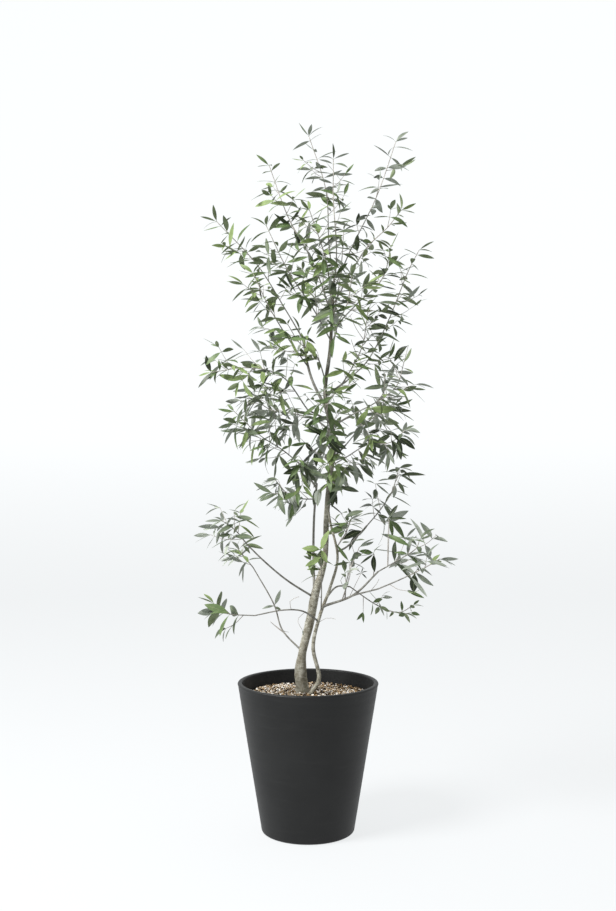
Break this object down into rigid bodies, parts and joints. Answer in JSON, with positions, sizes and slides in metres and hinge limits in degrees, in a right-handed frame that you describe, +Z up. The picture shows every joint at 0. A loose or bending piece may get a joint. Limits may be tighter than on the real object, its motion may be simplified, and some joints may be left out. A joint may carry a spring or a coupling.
{
  "type": "potted olive tree",
  "caption": "Young olive tree with a leaning slim trunk, a thin second stem and an airy narrow crown, planted in a tall tapered dark pot.",
  "frame": {"origin": "middle of the pot's flat underside", "axes": "+Z up along the pot's axis; +X to the right and -Y to the front of the tree as it is usually seen"},
  "size_m": [0.6797, 0.4836, 1.8256],
  "materials": {
    "pot": "satin charcoal with faint level ridges",
    "soil": "loose pumice and bark gravel, pale and brown bits mixed",
    "bark": "grey-green young bark with small knots and shallow cracks",
    "foliage": "leathery leaves, green above and silver-grey below, on pale twigs"
  },
  "bodies": {
    "root": {"pot": "pot", "soil": "soil", "trunk": "bark", "second_stem": "bark", "left_stem": "bark", "bough_left_middle": "bark", "bough_left_low_front": "bark", "bough_left_low_back": "bark", "bough_left_upper": "bark", "bough_right_low": "bark", "bough_right_far": "bark", "bough_right_low_back": "bark", "bough_right_middle": "bark", "bough_back_low": "bark", "bough_right_back": "bark", "bough_front": "bark", "bough_left_front": "bark", "bough_left_back": "bark", "bough_right_outer": "bark", "left_fork": "bark", "bough_right_upper": "bark", "bough_front_upper": "bark", "bough_back_upper": "bark", "leaves_left_low": "foliage", "leaves_left_low_back": "foliage", "leaves_left_upper": "foliage", "leaves_right_low": "foliage", "leaves_right_far": "foliage", "leaves_right_near": "foliage", "leaves_right_low_back": "foliage", "leaves_right_middle": "foliage", "leaves_young_shoot": "foliage", "leaves_stem_low": "foliage", "leaves_stem_end": "foliage", "leaves_back_low": "foliage", "leaves_left_inner": "foliage", "leaves_left_hanging": "foliage", "leaves_left_middle": "foliage", "leaves_left_front": "foliage", "leaves_left_back": "foliage", "leaves_front": "foliage", "leaves_right_inner": "foliage", "leaves_right_back": "foliage", "leaves_right_outer": "foliage", "leaves_right_upper": "foliage", "leaves_centre": "foliage", "leaves_right_shoot": "foliage", "leaves_right_crown": "foliage", "leaves_right_high": "foliage", "leaves_front_upper": "foliage", "leaves_back_upper": "foliage", "leaves_left_shoulder": "foliage", "leaves_left_crown": "foliage", "leaves_left_tall": "foliage", "leaves_left_high": "foliage", "leaves_top_centre": "foliage", "leaves_top_right": "foliage", "leaves_front_tall": "foliage", "leaves_back_tall": "foliage", "leaves_leader": "foliage"}
  },
  "joints": []
}
